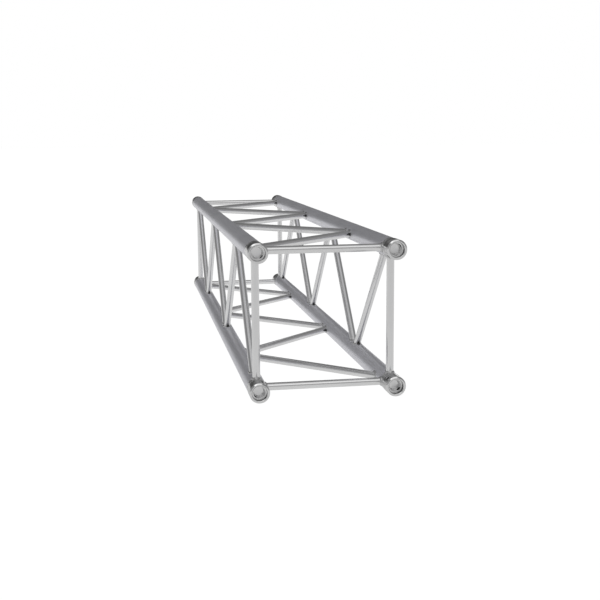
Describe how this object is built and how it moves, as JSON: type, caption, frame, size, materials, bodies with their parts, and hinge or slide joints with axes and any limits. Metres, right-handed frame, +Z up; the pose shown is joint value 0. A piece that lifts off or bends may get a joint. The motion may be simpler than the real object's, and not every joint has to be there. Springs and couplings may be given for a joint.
{
  "type": "lighting truss section",
  "caption": "Square box truss section in welded aluminium tube, with zigzag bracing on every face and conical coupler receivers at each chord end.",
  "frame": {"origin": "middle of the bottom of the bounding box, under the section's centre, where the lower receivers rest", "axes": "+Y along the section from the near end to the far end, +Z up, +X to the right seen from the near end"},
  "size_m": [0.402, 2, 0.402],
  "materials": {
    "chord_aluminium": "bare extruded tube, satin, drawn along its length",
    "brace_aluminium": "bare extruded tube, satin, with weld beads at its ends",
    "receiver_aluminium": "bare turned metal, brighter than the tubes"
  },
  "bodies": {
    "root": {"chord_top_left": "chord_aluminium", "chord_top_right": "chord_aluminium", "chord_bottom_right": "chord_aluminium", "chord_bottom_left": "chord_aluminium", "receiver_near_top_left": "receiver_aluminium", "receiver_near_top_right": "receiver_aluminium", "receiver_near_bottom_right": "receiver_aluminium", "receiver_near_bottom_left": "receiver_aluminium", "receiver_far_top_left": "receiver_aluminium", "receiver_far_top_right": "receiver_aluminium", "receiver_far_bottom_right": "receiver_aluminium", "receiver_far_bottom_left": "receiver_aluminium", "end_bar_near_top": "brace_aluminium", "end_bar_near_right": "brace_aluminium", "end_bar_near_bottom": "brace_aluminium", "end_bar_near_left": "brace_aluminium", "end_bar_far_top": "brace_aluminium", "end_bar_far_right": "brace_aluminium", "end_bar_far_bottom": "brace_aluminium", "end_bar_far_left": "brace_aluminium", "diagonal_top_1": "brace_aluminium", "diagonal_top_2": "brace_aluminium", "diagonal_top_3": "brace_aluminium", "diagonal_top_4": "brace_aluminium", "diagonal_top_5": "brace_aluminium", "diagonal_right_1": "brace_aluminium", "diagonal_right_2": "brace_aluminium", "diagonal_right_3": "brace_aluminium", "diagonal_right_4": "brace_aluminium", "diagonal_right_5": "brace_aluminium", "diagonal_bottom_1": "brace_aluminium", "diagonal_bottom_2": "brace_aluminium", "diagonal_bottom_3": "brace_aluminium", "diagonal_bottom_4": "brace_aluminium", "diagonal_bottom_5": "brace_aluminium", "diagonal_left_1": "brace_aluminium", "diagonal_left_2": "brace_aluminium", "diagonal_left_3": "brace_aluminium", "diagonal_left_4": "brace_aluminium", "diagonal_left_5": "brace_aluminium"}
  },
  "joints": []
}
